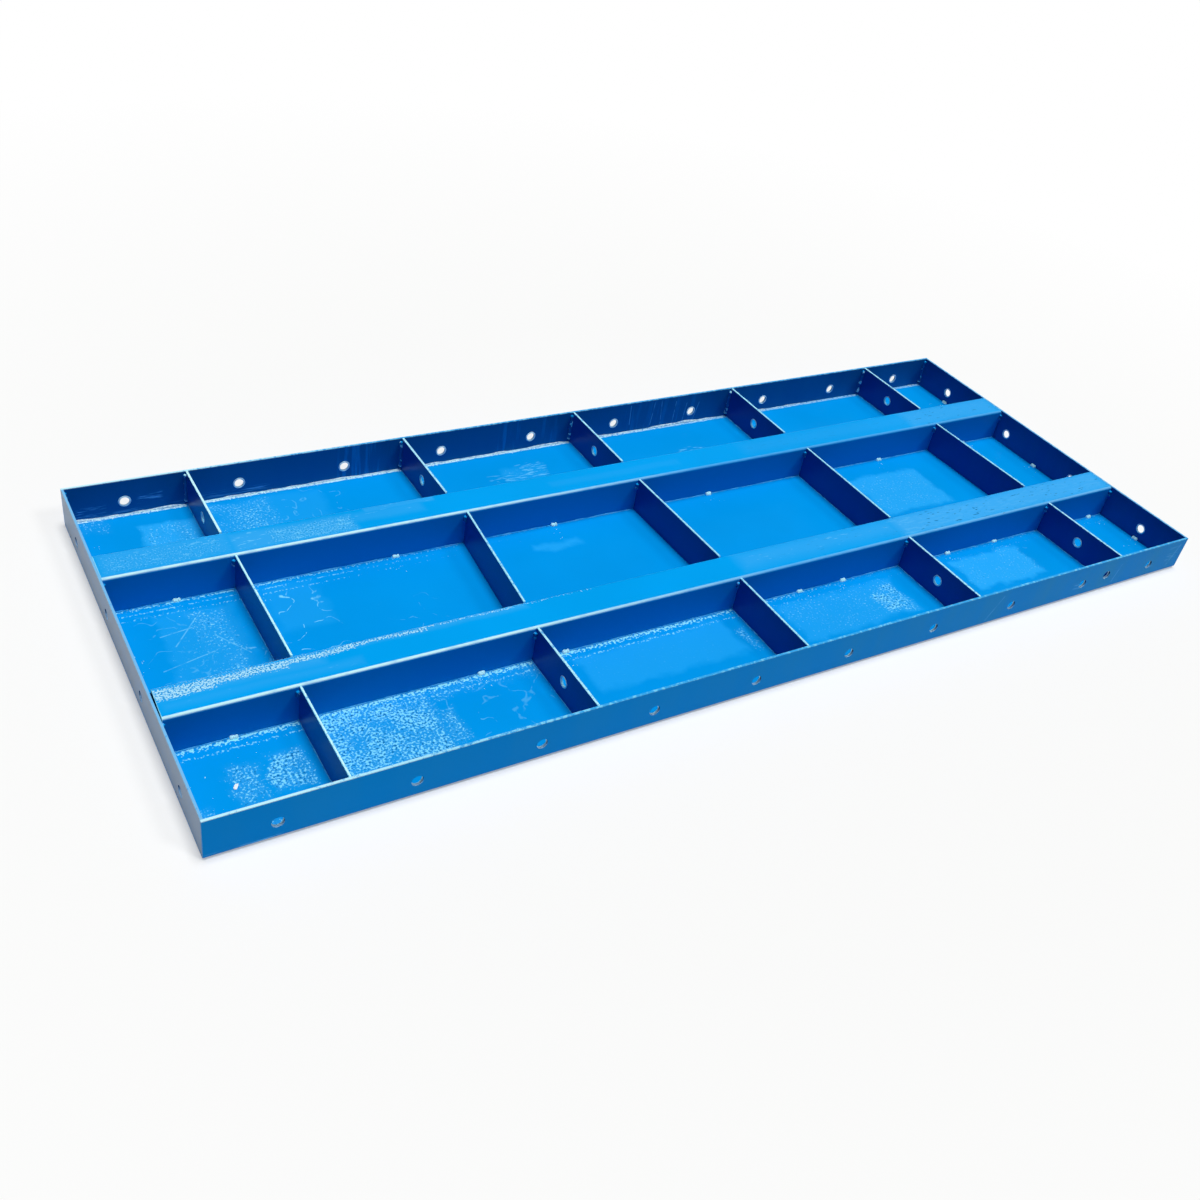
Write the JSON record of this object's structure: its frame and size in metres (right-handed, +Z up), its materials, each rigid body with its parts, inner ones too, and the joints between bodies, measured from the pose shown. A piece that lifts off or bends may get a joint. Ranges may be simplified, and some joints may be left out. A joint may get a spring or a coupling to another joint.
{
  "type": "concrete formwork panel",
  "caption": "Steel panel for casting concrete walls: a folded tray with end plates, wide long ribs, flat cross ribs and rows of pin holes along every side.",
  "frame": {"origin": "middle of the flat casting face, which is the underside as the panel lies", "axes": "+X along the panel's length, +Y across it from the near side to the far side, +Z up from the casting face to the tops of the ribs"},
  "size_m": [1.5, 0.6, 0.055],
  "materials": {
    "sheet_paint": "gloss enamel on 3 mm steel sheet, dusty and scuffed on the face sheet's upper side",
    "rib_paint": "gloss enamel on folded and flat steel ribs, thin light wear on the edges",
    "weld_paint": "short weld beads painted over, with bare glints"
  },
  "bodies": {
    "root": {"face_pan": "sheet_paint", "left_end_plate": "sheet_paint", "right_end_plate": "sheet_paint", "near_long_rib": "rib_paint", "far_long_rib": "rib_paint", "near_cross_rib_1": "rib_paint", "near_cross_rib_2": "rib_paint", "near_cross_rib_3": "rib_paint", "near_cross_rib_4": "rib_paint", "near_cross_rib_5": "rib_paint", "middle_cross_rib_1": "rib_paint", "middle_cross_rib_2": "rib_paint", "middle_cross_rib_3": "rib_paint", "middle_cross_rib_4": "rib_paint", "middle_cross_rib_5": "rib_paint", "far_cross_rib_1": "rib_paint", "far_cross_rib_2": "rib_paint", "far_cross_rib_3": "rib_paint", "far_cross_rib_4": "rib_paint", "far_cross_rib_5": "rib_paint", "near_row_welds": "weld_paint", "middle_row_welds": "weld_paint", "far_row_welds": "weld_paint", "long_rib_welds": "weld_paint", "end_plate_welds": "weld_paint"}
  },
  "joints": []
}
